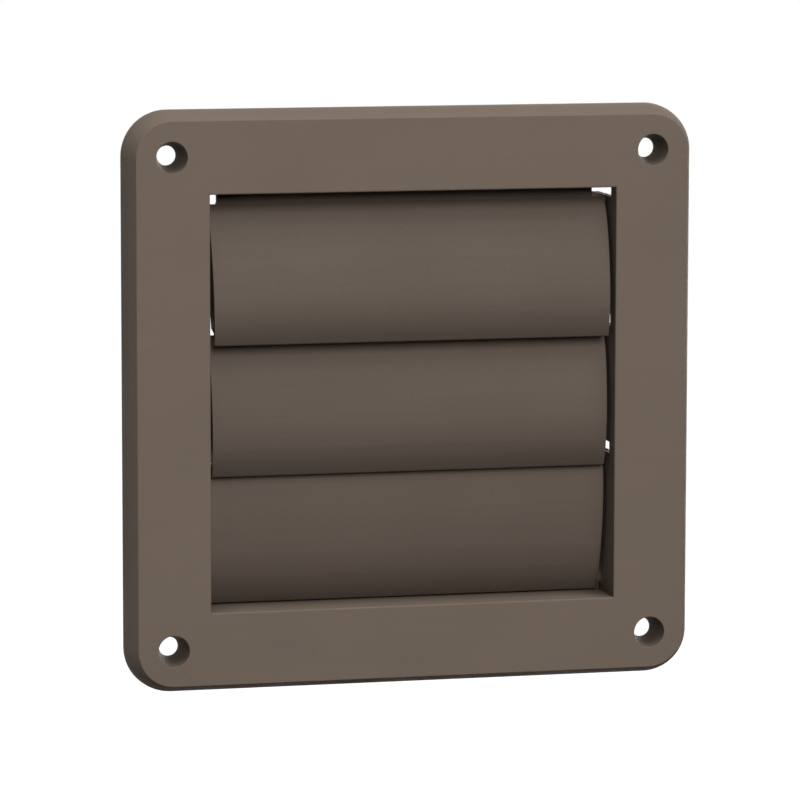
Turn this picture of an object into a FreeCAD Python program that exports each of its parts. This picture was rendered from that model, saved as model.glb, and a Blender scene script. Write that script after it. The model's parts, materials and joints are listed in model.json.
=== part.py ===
import FreeCAD, Part
import math
import os

# A square louvred wall vent: a moulded face frame and three louvres that hang on pins.
# The origin is the middle of the vent on the wall's surface. +X is right, +Z is up,
# and the front faces -Y. A depth is measured from the front face towards the wall.

# Face plate
face_size = 152.4
face_depth = 9.0
face_corner_radius = 12.0
edge_inset = 2.5
plate_wall = 2.2
skirt_wall = 2.0

# Opening and the sleeve behind it
opening_width = 108.8
opening_height = 109.2
mouth_radius = 0.4
sleeve_wall = 2.0
sleeve_depth = 24.0

# Screw bosses in the corners
screw_spacing = 128.7
screw_hole_radius = 2.6
screw_mouth_radius = 4.15
screw_land = 1.5
boss_wall = 1.5

# Ribs in the hollow back
rib_wall = 1.4
rib_setback = 1.5
rib_spacing = 32.0

# Louvres and their pins
louvre_names = ("louvre_top", "louvre_middle", "louvre_bottom")
rest_tilts = (13.4, 7.4, -4.2)
pin_radius = 1.0
pin_clearance = 0.06
pin_depth = 11.3
pin_drop = 4.2
pin_proud = 0.6
pin_chamfer = 0.3
louvre_lap = 2.3
louvre_wall = 1.4
bead_radius = 1.5
shoulder_slope = 45.0
shoulder_radius = 12.2
face_top_slope = 8.6
face_toe_slope = 12.6
lip_radius = 28.0
lip_slope = 28.0
lip_bulge = 0.35
upstand = 3.5
top_corner_notch = 3.8
notch_rise = 0.6
end_gap_top = 0.9
end_gap_bottom = 1.35
cheek_wall = 1.6
cheek_back = 2.0
cheek_rise = 5.0
cheek_toe_slope = 22.0

# Slots for the pins, in the sleeve's side walls
slot_front_depth = 5.2
slot_lip = 0.18

# Stops
stop_gap = 0.4
stop_height = 2.2
stop_wall = 1.4

# Values that follow from the sizes above
edge_radius = (face_depth ** 2 + edge_inset ** 2) / (2 * edge_inset)
louvre_count = len(louvre_names)
louvre_pitch = (opening_height - pin_drop - louvre_lap - stop_gap) / louvre_count
louvre_reach = louvre_pitch + louvre_lap
top_pin_height = opening_height / 2 - pin_drop
pin_y = pin_depth - face_depth
opening_half = opening_width / 2


def vec(x, y, z):
    return FreeCAD.Vector(x, y, z)


def box(x_low, x_high, y_low, y_high, z_low, z_high):
    return Part.makeBox(x_high - x_low, y_high - y_low, z_high - z_low, vec(x_low, y_low, z_low))


def depth_to_y(depth):
    return depth - face_depth


def pin_height(index):
    return top_pin_height - index * louvre_pitch


def side_outline(half, axis_distance, arc_radius, depth):
    """Half of a plate's section: flat on the wall, with a side that curves in towards the front."""
    front_half = half - arc_radius + math.sqrt(arc_radius ** 2 - depth ** 2)
    mid_depth = depth / 2
    mid_half = half - arc_radius + math.sqrt(arc_radius ** 2 - mid_depth ** 2)
    wall_point = vec(half, 0, 0)
    front_point = vec(front_half, -depth, 0)
    side = Part.Arc(wall_point, vec(mid_half, -mid_depth, 0), front_point).toShape()
    return [
        Part.makeLine(vec(axis_distance, 0, 0), wall_point),
        side,
        Part.makeLine(front_point, vec(axis_distance, -depth, 0)),
        Part.makeLine(vec(axis_distance, -depth, 0), vec(axis_distance, 0, 0)),
    ]


def curved_plate(size, corner_radius, arc_radius, depth):
    """A square plate with round corners whose whole edge curves in from the wall to the front."""
    half = size / 2
    straight = half - corner_radius
    section = Part.Face(Part.Wire(side_outline(half, straight, arc_radius, depth)))
    strip = section.extrude(vec(0, 0, straight * 2))
    strip.translate(vec(0, 0, -straight))
    corner = section.revolve(vec(straight, 0, 0), vec(0, 1, 0), -90)
    corner.translate(vec(0, 0, straight))
    pieces = []
    for turn in range(4):
        for shape in (strip, corner):
            piece = shape.copy()
            piece.rotate(vec(0, 0, 0), vec(0, 1, 0), 90 * turn)
            pieces.append(piece)
    core = box(-straight, straight, -depth, 0, -straight, straight)
    return core.fuse(pieces).removeSplitter()


def face_form(side_inset, front_inset):
    """The plate's outer form, moved in from its curved edge and back from its front."""
    return curved_plate(
        face_size - 2 * side_inset,
        face_corner_radius - side_inset,
        edge_radius - side_inset,
        face_depth - front_inset,
    )


def face_shell():
    """The face plate with its hollow back."""
    return face_form(0, 0).cut(face_form(skirt_wall, plate_wall))


def sleeve():
    """The four walls that run back from the opening, still filled in the middle."""
    half_width = opening_half + sleeve_wall
    half_height = opening_height / 2 + sleeve_wall
    return box(-half_width, half_width, depth_to_y(plate_wall / 2), depth_to_y(sleeve_depth), -half_height, half_height)


def opening():
    half_height = opening_height / 2
    margin = plate_wall
    front = depth_to_y(-margin)
    back = depth_to_y(sleeve_depth + margin)
    return box(-opening_half, opening_half, front, back, -half_height, half_height)


def screw_points():
    half = screw_spacing / 2
    return [(x, z) for x in (-half, half) for z in (-half, half)]


def screw_boss(x, z):
    """A round post that follows the tapered screw hole, from the plate to the wall."""
    front = depth_to_y(plate_wall / 2)
    return Part.makeCylinder(screw_mouth_radius + boss_wall, -front, vec(x, front, z), vec(0, 1, 0))


def screw_hole(x, z):
    """Wide at the front face, and tapering to a short straight hole at the wall."""
    points = [
        vec(0, -face_depth, 0),
        vec(screw_mouth_radius, -face_depth, 0),
        vec(screw_hole_radius, -screw_land, 0),
        vec(screw_hole_radius, 0, 0),
        vec(0, 0, 0),
    ]
    profile = Part.Face(Part.makePolygon(points + points[:1]))
    hole = profile.revolve(vec(0, 0, 0), vec(0, 1, 0), 360)
    hole.translate(vec(x, 0, z))
    return hole


def back_ribs():
    """Ribs that tie the skirt to the sleeve, and each screw boss to the skirt."""
    back = -rib_setback
    front = depth_to_y(plate_wall / 2)
    skirt = face_size / 2 - skirt_wall / 2
    half_rib = rib_wall / 2
    boss = screw_spacing / 2
    ribs = []
    for turn in range(4):
        across = opening_half if turn % 2 else opening_height / 2
        inner = across + sleeve_wall / 2
        for place in (-rib_spacing, 0, rib_spacing):
            ribs.append((turn, box(place - half_rib, place + half_rib, front, back, inner, skirt)))
        for place in (-boss, boss):
            ribs.append((turn, box(place - half_rib, place + half_rib, front, back, boss, skirt)))
    for turn, rib in ribs:
        rib.rotate(vec(0, 0, 0), vec(0, 1, 0), 90 * turn)
    inside = face_form(skirt_wall / 2, plate_wall / 2)
    return [rib.common(inside) for turn, rib in ribs]


def pin_slot(index, side):
    """A channel that is open at the back, with a round seat below it that the pin drops into."""
    height = pin_height(index)
    seat_radius = pin_radius + pin_clearance
    floor = height + pin_radius + slot_lip
    ceiling = height + pin_drop
    wall_low = opening_half - sleeve_wall / 2
    wall_high = opening_half + sleeve_wall * 2
    back = depth_to_y(sleeve_depth + sleeve_wall)
    channel = box(wall_low, wall_high, depth_to_y(slot_front_depth), back, floor, ceiling)
    neck = box(wall_low, wall_high, pin_y - seat_radius, pin_y + seat_radius, height, floor)
    seat = Part.makeCylinder(seat_radius, wall_high - wall_low, vec(wall_low, pin_y, height), vec(1, 0, 0))
    slot = channel.fuse([neck, seat]).removeSplitter()
    return slot if side > 0 else slot.mirror(vec(0, 0, 0), vec(1, 0, 0))


def lower_edge_at_rest():
    """Where the back of the bottom louvre's lower edge stands, as a distance along Y."""
    tilt = math.radians(rest_tilts[-1])
    back, top, toe = blade_curve(louvre_wall, lip_slope)
    return pin_y + toe.y * math.cos(tilt) + toe.z * math.sin(tilt)


def mouth_edges(frame):
    """The four edges of the opening in the front face."""
    middles = [vec(side * opening_half, -face_depth, 0) for side in (-1, 1)]
    middles += [vec(0, -face_depth, side * opening_height / 2) for side in (-1, 1)]
    same_place = 0.01
    return [
        edge for edge in frame.Edges
        if min(edge.CenterOfMass.distanceToPoint(middle) for middle in middles) < same_place
    ]


def sill_stop():
    """A low rib on the sleeve's floor, just behind the bottom louvre's lower edge."""
    front = lower_edge_at_rest() + stop_gap
    sill = -opening_height / 2
    return box(-opening_half, opening_half, front, front + stop_wall, sill - sleeve_wall / 2, sill + stop_height)


def make_frame():
    posts = [screw_boss(x, z) for x, z in screw_points()]
    frame = face_shell().fuse([sleeve()] + posts + back_ribs())
    frame = frame.cut([opening()] + [screw_hole(x, z) for x, z in screw_points()]).removeSplitter()
    frame = frame.makeFillet(mouth_radius, mouth_edges(frame))
    frame = frame.fuse(sill_stop())
    slots = [pin_slot(index, side) for index in range(louvre_count) for side in (-1, 1)]
    return frame.cut(slots).removeSplitter()


# A louvre is drawn with its pin axis on X, its face towards -Y and its lower edge down.
# Its face is three arcs in a row: a shoulder that leaves the bead, the face and the lip.
# A slope is measured from plumb, and is positive where the face leans back at its top.


def blade_arcs():
    """The face's arcs from the bead down: each the centre, the radius and the two slopes."""
    slopes = [math.radians(slope) for slope in (shoulder_slope, face_top_slope, -face_toe_slope, -lip_slope)]
    shoulder_drop, face_share, lip_drop = [
        math.sin(upper) - math.sin(lower) for upper, lower in zip(slopes, slopes[1:])
    ]
    face_drop = louvre_reach + bead_radius * math.sin(slopes[0])
    face_drop -= shoulder_radius * shoulder_drop + lip_radius * lip_drop
    radii = (shoulder_radius, face_drop / face_share, lip_radius)
    centre = vec(0, 0, 0)
    radius_above = bead_radius
    arcs = []
    for radius, upper, lower in zip(radii, slopes, slopes[1:]):
        centre = centre + outward(upper) * (radius_above - radius)
        arcs.append((centre, radius, upper, lower))
        radius_above = radius
    return arcs


def outward(slope):
    """The direction that the face looks in where it has this slope."""
    return vec(0, -math.cos(slope), math.sin(slope))


def blade_curve(inset, toe_slope):
    """The face's curve, moved back by the inset, from the bead to where the lip slopes by toe_slope."""
    toe = -math.radians(toe_slope)
    curve = []
    ends = []
    for centre, radius, upper, lower in blade_arcs():
        lower = max(lower, toe)
        slopes = (upper, (upper + lower) / 2, lower)
        points = [centre + outward(slope) * (radius - inset) for slope in slopes]
        curve.append(Part.Arc(*points).toShape())
        ends += [points[0], points[-1]]
    return curve, ends[0], ends[-1]


def blade_section():
    front, front_top, front_toe = blade_curve(0, lip_slope)
    back, back_top, back_toe = blade_curve(louvre_wall, lip_slope)
    along = outward(-math.radians(lip_slope)).cross(vec(-1, 0, 0))
    middle = (front_toe + back_toe) * 0.5 + along * lip_bulge
    edges = front + back + [Part.Arc(front_toe, middle, back_toe).toShape(), Part.makeLine(back_top, front_top)]
    return Part.Face(Part.Wire(Part.__sortEdges__(edges)))


def cheek_section():
    """The end plate's outline, from the bead down the back of the blade."""
    middle, top, toe = blade_curve(louvre_wall / 2, cheek_toe_slope)
    bead_back = vec(0, bead_radius, 0)
    heel = vec(0, cheek_back, -louvre_reach + cheek_rise)
    edges = middle + [Part.makeLine(toe, heel), Part.makeLine(heel, bead_back), Part.makeLine(bead_back, top)]
    return Part.Face(Part.Wire(Part.__sortEdges__(edges)))


def end_taper():
    """A blade's outline seen from the front: notched at its top corners, and narrower at the lower edge."""
    top_half = opening_half - end_gap_top
    bottom_half = opening_half - end_gap_bottom
    notched_half = opening_half - top_corner_notch
    depth = louvre_reach
    over = (top_half - bottom_half) / louvre_reach * depth
    right_side = [
        vec(notched_half, -depth, bead_radius),
        vec(notched_half, -depth, notch_rise),
        vec(top_half, -depth, notch_rise),
        vec(top_half, -depth, 0),
        vec(bottom_half - over, -depth, -louvre_reach - depth),
    ]
    left_side = [vec(-point.x, point.y, point.z) for point in reversed(right_side)]
    points = right_side + left_side + right_side[:1]
    return Part.Face(Part.makePolygon(points)).extrude(vec(0, 2 * depth, 0))


def louvre_pin(side):
    """A round pin with a small chamfer at its tip."""
    start = opening_half - end_gap_top - cheek_wall / 2
    tip = opening_half + sleeve_wall + pin_proud
    shoulder = vec(tip - pin_chamfer, 0, 0)
    body = Part.makeCylinder(pin_radius, shoulder.x - start, vec(start, 0, 0), vec(1, 0, 0))
    nose = Part.makeCone(pin_radius, pin_radius - pin_chamfer, pin_chamfer, shoulder, vec(1, 0, 0))
    pin = body.fuse(nose)
    return pin if side > 0 else pin.mirror(vec(0, 0, 0), vec(1, 0, 0))


def make_louvre(index):
    width = 2 * (opening_half - end_gap_top)
    blade = blade_section().extrude(vec(width, 0, 0))
    bead = Part.makeCylinder(bead_radius, width, vec(0, 0, 0), vec(1, 0, 0))
    left_cheek = cheek_section().extrude(vec(cheek_wall + end_gap_bottom - end_gap_top, 0, 0))
    right_cheek = left_cheek.copy()
    right_cheek.translate(vec(width - cheek_wall - end_gap_bottom + end_gap_top, 0, 0))
    body = blade.fuse([bead, left_cheek, right_cheek])
    body.translate(vec(-width / 2, 0, 0))
    body = body.common(end_taper())
    notched_half = opening_half - top_corner_notch
    rise = box(-notched_half, notched_half, -bead_radius, louvre_wall - bead_radius, 0, upstand)
    body = body.fuse([rise, louvre_pin(-1), louvre_pin(1)]).removeSplitter()
    body.rotate(vec(0, 0, 0), vec(-1, 0, 0), rest_tilts[index])
    body.translate(vec(0, pin_y, pin_height(index)))
    return body


def main():
    os.makedirs("parts", exist_ok=True)
    solids = {"frame": make_frame()}
    for index, name in enumerate(louvre_names):
        solids[name] = make_louvre(index)
    for name, shape in solids.items():
        shape.exportStep("parts/" + name + ".step")
        print(name, len(shape.Solids), "solid", shape.isValid(), round(shape.Volume), "mm3")
    return solids


main()
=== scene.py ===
# %% [markdown]
# # A louvred wall vent in moulded plastic
# The real vent is four mouldings: a square face frame and three louvres that hang in its
# opening on small pins. The solids already have their real size, so this lesson gives them
# the look of the plastic, and builds the studio round them. All lengths are in metres.

# %% Load the frame of the vent
import json
import math

import bpy
from mathutils import Matrix, Vector


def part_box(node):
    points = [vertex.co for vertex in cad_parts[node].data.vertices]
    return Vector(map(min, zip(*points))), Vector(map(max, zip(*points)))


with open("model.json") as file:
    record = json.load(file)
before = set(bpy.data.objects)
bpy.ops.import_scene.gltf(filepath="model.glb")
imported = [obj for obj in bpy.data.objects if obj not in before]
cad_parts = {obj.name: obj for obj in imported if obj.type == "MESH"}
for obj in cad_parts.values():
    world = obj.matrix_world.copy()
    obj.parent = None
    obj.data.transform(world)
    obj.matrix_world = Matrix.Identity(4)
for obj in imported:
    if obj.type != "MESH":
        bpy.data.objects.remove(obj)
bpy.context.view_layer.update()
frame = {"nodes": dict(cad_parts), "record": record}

MILLIMETRE = 0.001
for name, node in frame["nodes"].items():
    low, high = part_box(name)
    size = [round((b - a) / MILLIMETRE, 1) for a, b in zip(low, high)]
    print(name, "measures", size, "mm and has", len(node.data.polygons), "faces")

# %% [markdown]
# ## The camera
# The photo was taken with a long lens from the left and a little above, so the upright edges
# stay nearly parallel. A camera could be aimed at the vent by eye, but the plate's outline,
# the opening and the four holes fix it far better. They were matched first, and the place,
# the three turns and the lens below are what made them agree.

# %% Stand the camera where the photo was taken
IMAGE_PIXELS = 800
SENSOR_WIDTH = 36.0
FOCAL_PIXELS = 4767.525
CAMERA_PLACE = Vector((-0.293856, -1.209966, 0.161154))
CAMERA_AZIMUTH = math.radians(13.567)
CAMERA_DROP = math.radians(7.434)
CAMERA_ROLL = math.radians(0.094)

lens_data = bpy.data.cameras.new("studio_camera")
lens_data.sensor_width = SENSOR_WIDTH
lens_data.lens = SENSOR_WIDTH * FOCAL_PIXELS / IMAGE_PIXELS
camera = bpy.data.objects.new("studio_camera", lens_data)
bpy.context.scene.collection.objects.link(camera)
turn = Matrix.Rotation(-CAMERA_AZIMUTH, 4, "Z")
tilt = Matrix.Rotation(math.pi / 2 - CAMERA_DROP, 4, "X")
roll = Matrix.Rotation(CAMERA_ROLL, 4, "Z")
camera.matrix_world = Matrix.Translation(CAMERA_PLACE) @ turn @ tilt @ roll
bpy.context.scene.camera = camera
print("the lens is", round(lens_data.lens, 1), "mm long")

# %% [markdown]
# ## Small helpers for materials
# A material in Blender is a graph of nodes. Most of the graphs here need the same few moves:
# add a node, join two sockets, and turn a noise into a value between two ends. Writing each
# move once keeps the recipe for the plastic short enough to read.

# %% Helpers for building a material


def add_node(tree, kind, **values):
    """Adds a node of this kind, and sets its inputs and its own options by name."""
    node = tree.nodes.new(kind)
    for key, value in values.items():
        if key in node.inputs:
            node.inputs[key].default_value = value
        else:
            setattr(node, key, value)
    return node


def join(tree, output, node, socket):
    tree.links.new(output, node.inputs[socket])


def noise_of_size(tree, place, size, detail=2.0, roughness=0.5):
    """A noise whose spots are about this many metres across."""
    noise = add_node(tree, "ShaderNodeTexNoise", Detail=detail, Roughness=roughness)
    noise.inputs["Scale"].default_value = 1 / size
    join(tree, place, noise, "Vector")
    return noise.outputs["Fac"]


def spread(tree, value, low, high, start=0.3, end=0.7):
    """Turns a noise, which mostly lies from start to end, into a value from low to high."""
    remap = add_node(tree, "ShaderNodeMapRange")
    remap.inputs["From Min"].default_value = start
    remap.inputs["From Max"].default_value = end
    remap.inputs["To Min"].default_value = low
    remap.inputs["To Max"].default_value = high
    join(tree, value, remap, "Value")
    return remap.outputs["Result"]


def scale_colour(tree, colour, factor):
    """Makes a colour lighter or darker by a factor that varies over the surface."""
    scaled = add_node(tree, "ShaderNodeVectorMath", operation="SCALE")
    join(tree, colour, scaled, 0)
    join(tree, factor, scaled, "Scale")
    return scaled.outputs["Vector"]


# %% [markdown]
# ## Moulded plastic
# The vent is moulded in a brown plastic whose colour goes right through it. Up close such a
# surface isn't one flat colour: the pigment clouds a little, the melt leaves faint streaks
# where it flowed, the mould prints a fine grain, and the edges rub smooth and pale. A picture
# could carry that, but noises in the piece's own space have no seams, need no unwrapping, and
# stay with each piece when the louvres swing. The next cells make the marks one by one, and
# the recipe then puts them together.

# %% [markdown]
# ## Worn edges and flow streaks
# A moulded edge is never quite sharp, and hands rub it smooth. It could be rounded in the
# mesh, but the solid keeps its mesh, so a bevel in the material softens only the way that
# the edge catches light. Where the softened normal leans off the true one there is an edge,
# and that difference also says where the wear goes. The streaks are a plain noise, drawn out
# along the length of the louvres. The photo shows neither of them plainly, so both are kept
# faint.

# %% Find the worn edges and draw the streaks
EDGE_RADIUS = 0.00035
STREAK_SIZE = 0.0018
STREAK_STRETCH = 0.04


def edge_wear(tree):
    """A softened normal, and a mask that is 1 where it leans off the true normal, at an edge."""
    rounded = add_node(tree, "ShaderNodeBevel", samples=6, Radius=EDGE_RADIUS)
    true = add_node(tree, "ShaderNodeNewGeometry")
    lean = add_node(tree, "ShaderNodeVectorMath", operation="DOT_PRODUCT")
    join(tree, rounded.outputs["Normal"], lean, 0)
    join(tree, true.outputs["Normal"], lean, 1)
    return rounded.outputs["Normal"], spread(tree, lean.outputs["Value"], 1.0, 0.0, 0.8, 0.99)


def flow_streaks(tree, place):
    """A noise that is drawn out along X, as the melt runs across a wide moulding."""
    squeeze = add_node(tree, "ShaderNodeMapping", Scale=(STREAK_STRETCH, 1, 1))
    join(tree, place, squeeze, "Vector")
    return noise_of_size(tree, squeeze.outputs["Vector"], STREAK_SIZE, detail=3.0)


# %% [markdown]
# ## The rolled lip and the painted shade in the hollows
# The louvres' lower edge is rolled in the solid, but the photo's lips darken sooner and more
# than that roll does. So the finish turns the normal further, over the lowest third. This is
# shading only, and the outline stays that of the solid. The height comes from the piece's own
# box, which swings with the louvre. The photo's screw holes and gaps are darker than the lamps
# here leave them, so shade is painted into the colour there. It could be painted by place, but
# a measure of how open the surface lies finds every hole and narrow gap by itself.

# %% Roll the lip and paint shade into the hollows
LIP_SHARE = 0.34
LIP_CURVE = 2.0
HOLLOW_DEPTH = 0.01


def rolled_lip(tree, normal, depth):
    """Lets the lowest part of a louvre seem to fall away softly, by this depth at its edge."""
    height = add_node(tree, "ShaderNodeSeparateXYZ")
    join(tree, add_node(tree, "ShaderNodeTexCoord").outputs["Generated"], height, "Vector")
    fall = spread(tree, height.outputs["Z"], 1.0, 0.0, 0.0, LIP_SHARE)
    curve = add_node(tree, "ShaderNodeMath", operation="POWER")
    curve.inputs[1].default_value = LIP_CURVE
    join(tree, fall, curve, 0)
    roll = add_node(tree, "ShaderNodeBump", invert=True, Distance=depth)
    join(tree, curve.outputs[0], roll, "Height")
    join(tree, normal, roll, "Normal")
    return roll.outputs["Normal"]


def painted_shade_in_hollows(tree, darkest):
    """Painted shade: a colour factor that is 1 on open surfaces and falls to its darkest in holes
    and narrow gaps.
    """
    openness = add_node(tree, "ShaderNodeAmbientOcclusion", samples=8, Distance=HOLLOW_DEPTH)
    return spread(tree, openness.outputs["AO"], darkest, 1.0, 0.15, 0.9)


# %% [markdown]
# ## One recipe for both browns
# Each mark is a factor on the colour. All but the painted shade in the hollows stay near 1, so
# on open faces the brown that is written is the brown that shows, and each mark can be made
# stronger or weaker by itself. The plastic is satin, so its mirror part is weak. That is one
# number all over, so it is set on the shader's own socket, where an export can find it.

# %% The recipe for the plastic
CLOUD_SIZE = 0.028
CLOUD_SHARE = 0.03
SPECK_SIZE = 0.0006
SPECK_SHARE = 0.035
GRAIN_SIZE = 0.00045
GRAIN_DEPTH = 0.000012
WEAR_LIFT = 0.08
GLOSS_DRIFT = 0.05
SATIN_LEVEL = 0.025


def moulded_plastic(name, colour, roughness, streaks, lip_roll=0.0, hollows=1.0):
    """Satin plastic. Streaks and the shade painted into hollows scale its colour, and the lip's
    roll is in metres.
    """
    material = bpy.data.materials.new(name)
    material.use_nodes = True
    tree = material.node_tree
    surface = tree.nodes["Principled BSDF"]
    surface.inputs["Specular IOR Level"].default_value = SATIN_LEVEL
    place = add_node(tree, "ShaderNodeTexCoord").outputs["Object"]
    soft_normal, wear = edge_wear(tree)

    pigment = add_node(tree, "ShaderNodeRGB")
    pigment.outputs[0].default_value = colour
    clouds = noise_of_size(tree, place, CLOUD_SIZE, detail=3.0)
    specks = noise_of_size(tree, place, SPECK_SIZE)
    factors = (
        spread(tree, clouds, 1 - CLOUD_SHARE, 1 + CLOUD_SHARE),
        spread(tree, specks, 1 - SPECK_SHARE, 1 + SPECK_SHARE),
        spread(tree, flow_streaks(tree, place), 1 - streaks, 1 + streaks),
        spread(tree, wear, 1.0, 1 + WEAR_LIFT, 0.0, 1.0),
    )
    shade = pigment.outputs[0]
    for factor in factors:
        shade = scale_colour(tree, shade, factor)
    # Painted shade: the colour darkens in holes and narrow gaps, where the lamps leave shade.
    if hollows < 1.0:
        shade = scale_colour(tree, shade, painted_shade_in_hollows(tree, hollows))
    join(tree, shade, surface, "Base Color")

    drift = noise_of_size(tree, place, CLOUD_SIZE / 2)
    gloss = spread(tree, drift, roughness - GLOSS_DRIFT, roughness + GLOSS_DRIFT)
    join(tree, gloss, surface, "Roughness")
    grain = add_node(tree, "ShaderNodeBump", Distance=GRAIN_DEPTH)
    join(tree, noise_of_size(tree, place, GRAIN_SIZE, detail=1.0), grain, "Height")
    join(tree, soft_normal, grain, "Normal")
    relief = grain.outputs["Normal"]
    if lip_roll:
        relief = rolled_lip(tree, relief, lip_roll)
    join(tree, relief, surface, "Normal")
    return material


# %% [markdown]
# ## Dress the mouldings
# In the photo the frame and the louvres look like one plastic. Under these lamps the louvres
# came out paler than in the photo, so their brown is written deeper than the frame's, as painted
# shade, and a little smoother. A photo can't tell a colour from its shade, so that is a choice
# and not something measured. Only the frame has shade painted into its hollows: on the louvres
# that would also darken their right ends, which are bright in the photo. Each solid keeps its
# mesh, and only the material in its slot changes.

# %% Give the frame and the louvres their plastic
FRAME_BROWN = (0.156, 0.122, 0.098, 1.0)
# The louvres' brown is the frame's plastic written deeper, as painted shade.
LOUVRE_SHADED_BROWN = (0.121, 0.0945, 0.077, 1.0)
FRAME_ROUGHNESS, LOUVRE_ROUGHNESS = 0.68, 0.62
FRAME_STREAKS, LOUVRE_STREAKS = 0.01, 0.02
# How dark the shade painted into the frame's hollows gets.
FRAME_HOLLOW_PAINTED_SHADE = 0.4
LIP_ROLL = 0.0022

finishes = {
    "brown_frame": moulded_plastic(
        "frame_plastic", FRAME_BROWN, FRAME_ROUGHNESS, FRAME_STREAKS, hollows=FRAME_HOLLOW_PAINTED_SHADE
    ),
    "brown_louvre": moulded_plastic(
        "louvre_plastic", LOUVRE_SHADED_BROWN, LOUVRE_ROUGHNESS, LOUVRE_STREAKS, lip_roll=LIP_ROLL
    ),
}
for part in frame["record"]["subparts"]:
    node = frame["nodes"][part["node"]]
    for slot in node.material_slots:
        slot.material = finishes[part["material_slot"]]
    print(part["node"], "is dressed in", finishes[part["material_slot"]].name)

# %% [markdown]
# ## The floor
# The vent stands out against plain white, with nothing close behind it. The floor is a pale
# sheet some way below, and it takes the vent's shadow. It could be lit until it burns out,
# but that would also light the vent from below, and the underside has to stay dark. So the
# lamps stay plain, and the floor is hidden from diffuse rays, which keeps its light off the
# vent. What the camera, gloss and glass see of the floor gets a lift that grows from the
# middle outwards, until the floor meets the white room without a line.

# %% Lay the floor
FLOOR_DROP = 0.6
FLOOR_SIZE = 16.0
FLOOR_PALE = (0.8, 0.8, 0.8, 1.0)
FLOOR_ROUGHNESS = 0.9
WHITE = (1.0, 1.0, 1.0, 1.0)
NEAR_LIFT, FAR_LIFT = 0.7, 1.0
LIFT_STARTS, LIFT_ENDS = 0.5, 2.0


def seen_rays(tree):
    """1 for a ray of the camera, of gloss or of glass, and 0 for light that falls on the vent."""
    rays = add_node(tree, "ShaderNodeLightPath")
    seen = rays.outputs["Is Camera Ray"]
    for kind in ("Is Glossy Ray", "Is Transmission Ray"):
        either = add_node(tree, "ShaderNodeMath", operation="MAXIMUM")
        join(tree, seen, either, 0)
        join(tree, rays.outputs[kind], either, 1)
        seen = either.outputs[0]
    return seen


bpy.ops.mesh.primitive_plane_add(size=FLOOR_SIZE, location=(0, 0, -FLOOR_DROP))
floor = bpy.context.object
floor.name = "floor"
floor.visible_diffuse = False
floor_paint = bpy.data.materials.new("floor_paint")
floor_paint.use_nodes = True
tree = floor_paint.node_tree
floor_surface = tree.nodes["Principled BSDF"]
floor_surface.inputs["Base Color"].default_value = FLOOR_PALE
floor_surface.inputs["Roughness"].default_value = FLOOR_ROUGHNESS
floor_surface.inputs["Specular IOR Level"].default_value = 0.0
floor_surface.inputs["Emission Color"].default_value = WHITE
outward = add_node(tree, "ShaderNodeVectorMath", operation="LENGTH")
join(tree, add_node(tree, "ShaderNodeTexCoord").outputs["Object"], outward, 0)
lift = add_node(tree, "ShaderNodeMath", operation="MULTIPLY")
growth = spread(tree, outward.outputs["Value"], NEAR_LIFT, FAR_LIFT, LIFT_STARTS, LIFT_ENDS)
join(tree, growth, lift, 0)
join(tree, seen_rays(tree), lift, 1)
join(tree, lift.outputs[0], floor_surface, "Emission Strength")
floor.data.materials.append(floor_paint)
print("the floor lies", FLOOR_DROP, "m below the middle of the vent")

# %% [markdown]
# ## The white room
# The world could simply be bright, but then it would light the vent from all round and wash
# out its hollows. It is white only for what is seen, as the floor is, and dark as a lamp.

# %% Colour the room
world = bpy.data.worlds.new("studio_room")
bpy.context.scene.world = world
world.use_nodes = True
tree = world.node_tree
room = tree.nodes["Background"]
room.inputs["Color"].default_value = WHITE
join(tree, seen_rays(tree), room, "Strength")
print("the room is", world.name)

# %% [markdown]
# ## The lamps
# Softboxes light a studio product: large, plain, and some way off, so that shadows have soft
# edges. The main one is in front and a little above. A second one higher up on the right and
# a third overhead bring out the top edge and the sill, and together the three make the face
# as bright as its colour. A weak one on the left softens the shadow of the sleeve's wall. Two
# stand behind, so that the plate's side and the ribs at the back can be seen as well.

# %% Hang the softboxes
LAMP_DISTANCE = 2.0
LAMP_WIDTH = 1.1
LAMPS = {  # azimuth and elevation in degrees, and power in watts
    "main_light": (0, 25, 33.5),
    "high_light": (30, 58, 18.0),
    "top_light": (0, 88, 15.0),
    "left_light": (-55, 0, 2.5),
    "rear_left_light": (-130, 5, 10.0),
    "rear_right_light": (150, 5, 28.0),
}


def softbox(name, azimuth, elevation, power):
    """A square lamp that faces the vent. Azimuth 0 is straight in front, and 90 is on the right."""
    data = bpy.data.lights.new(name, "AREA")
    data.shape = "SQUARE"
    data.size = LAMP_WIDTH
    data.energy = power
    lamp = bpy.data.objects.new(name, data)
    bpy.context.scene.collection.objects.link(lamp)
    level = math.cos(math.radians(elevation))
    towards = Vector((
        math.sin(math.radians(azimuth)) * level,
        -math.cos(math.radians(azimuth)) * level,
        math.sin(math.radians(elevation)),
    ))
    lamp.location = towards * LAMP_DISTANCE
    lamp.rotation_euler = towards.to_track_quat("Z", "Y").to_euler()
    lamp.visible_camera = False


for lamp_name, (azimuth, elevation, power) in LAMPS.items():
    softbox(lamp_name, azimuth, elevation, power)
print("lamps:", list(LAMPS))

# %% [markdown]
# ## Finish
# The colours have to come out as they were mixed, so the view transform is Standard.

# %% Finish
bpy.context.scene.view_settings.view_transform = "Standard"
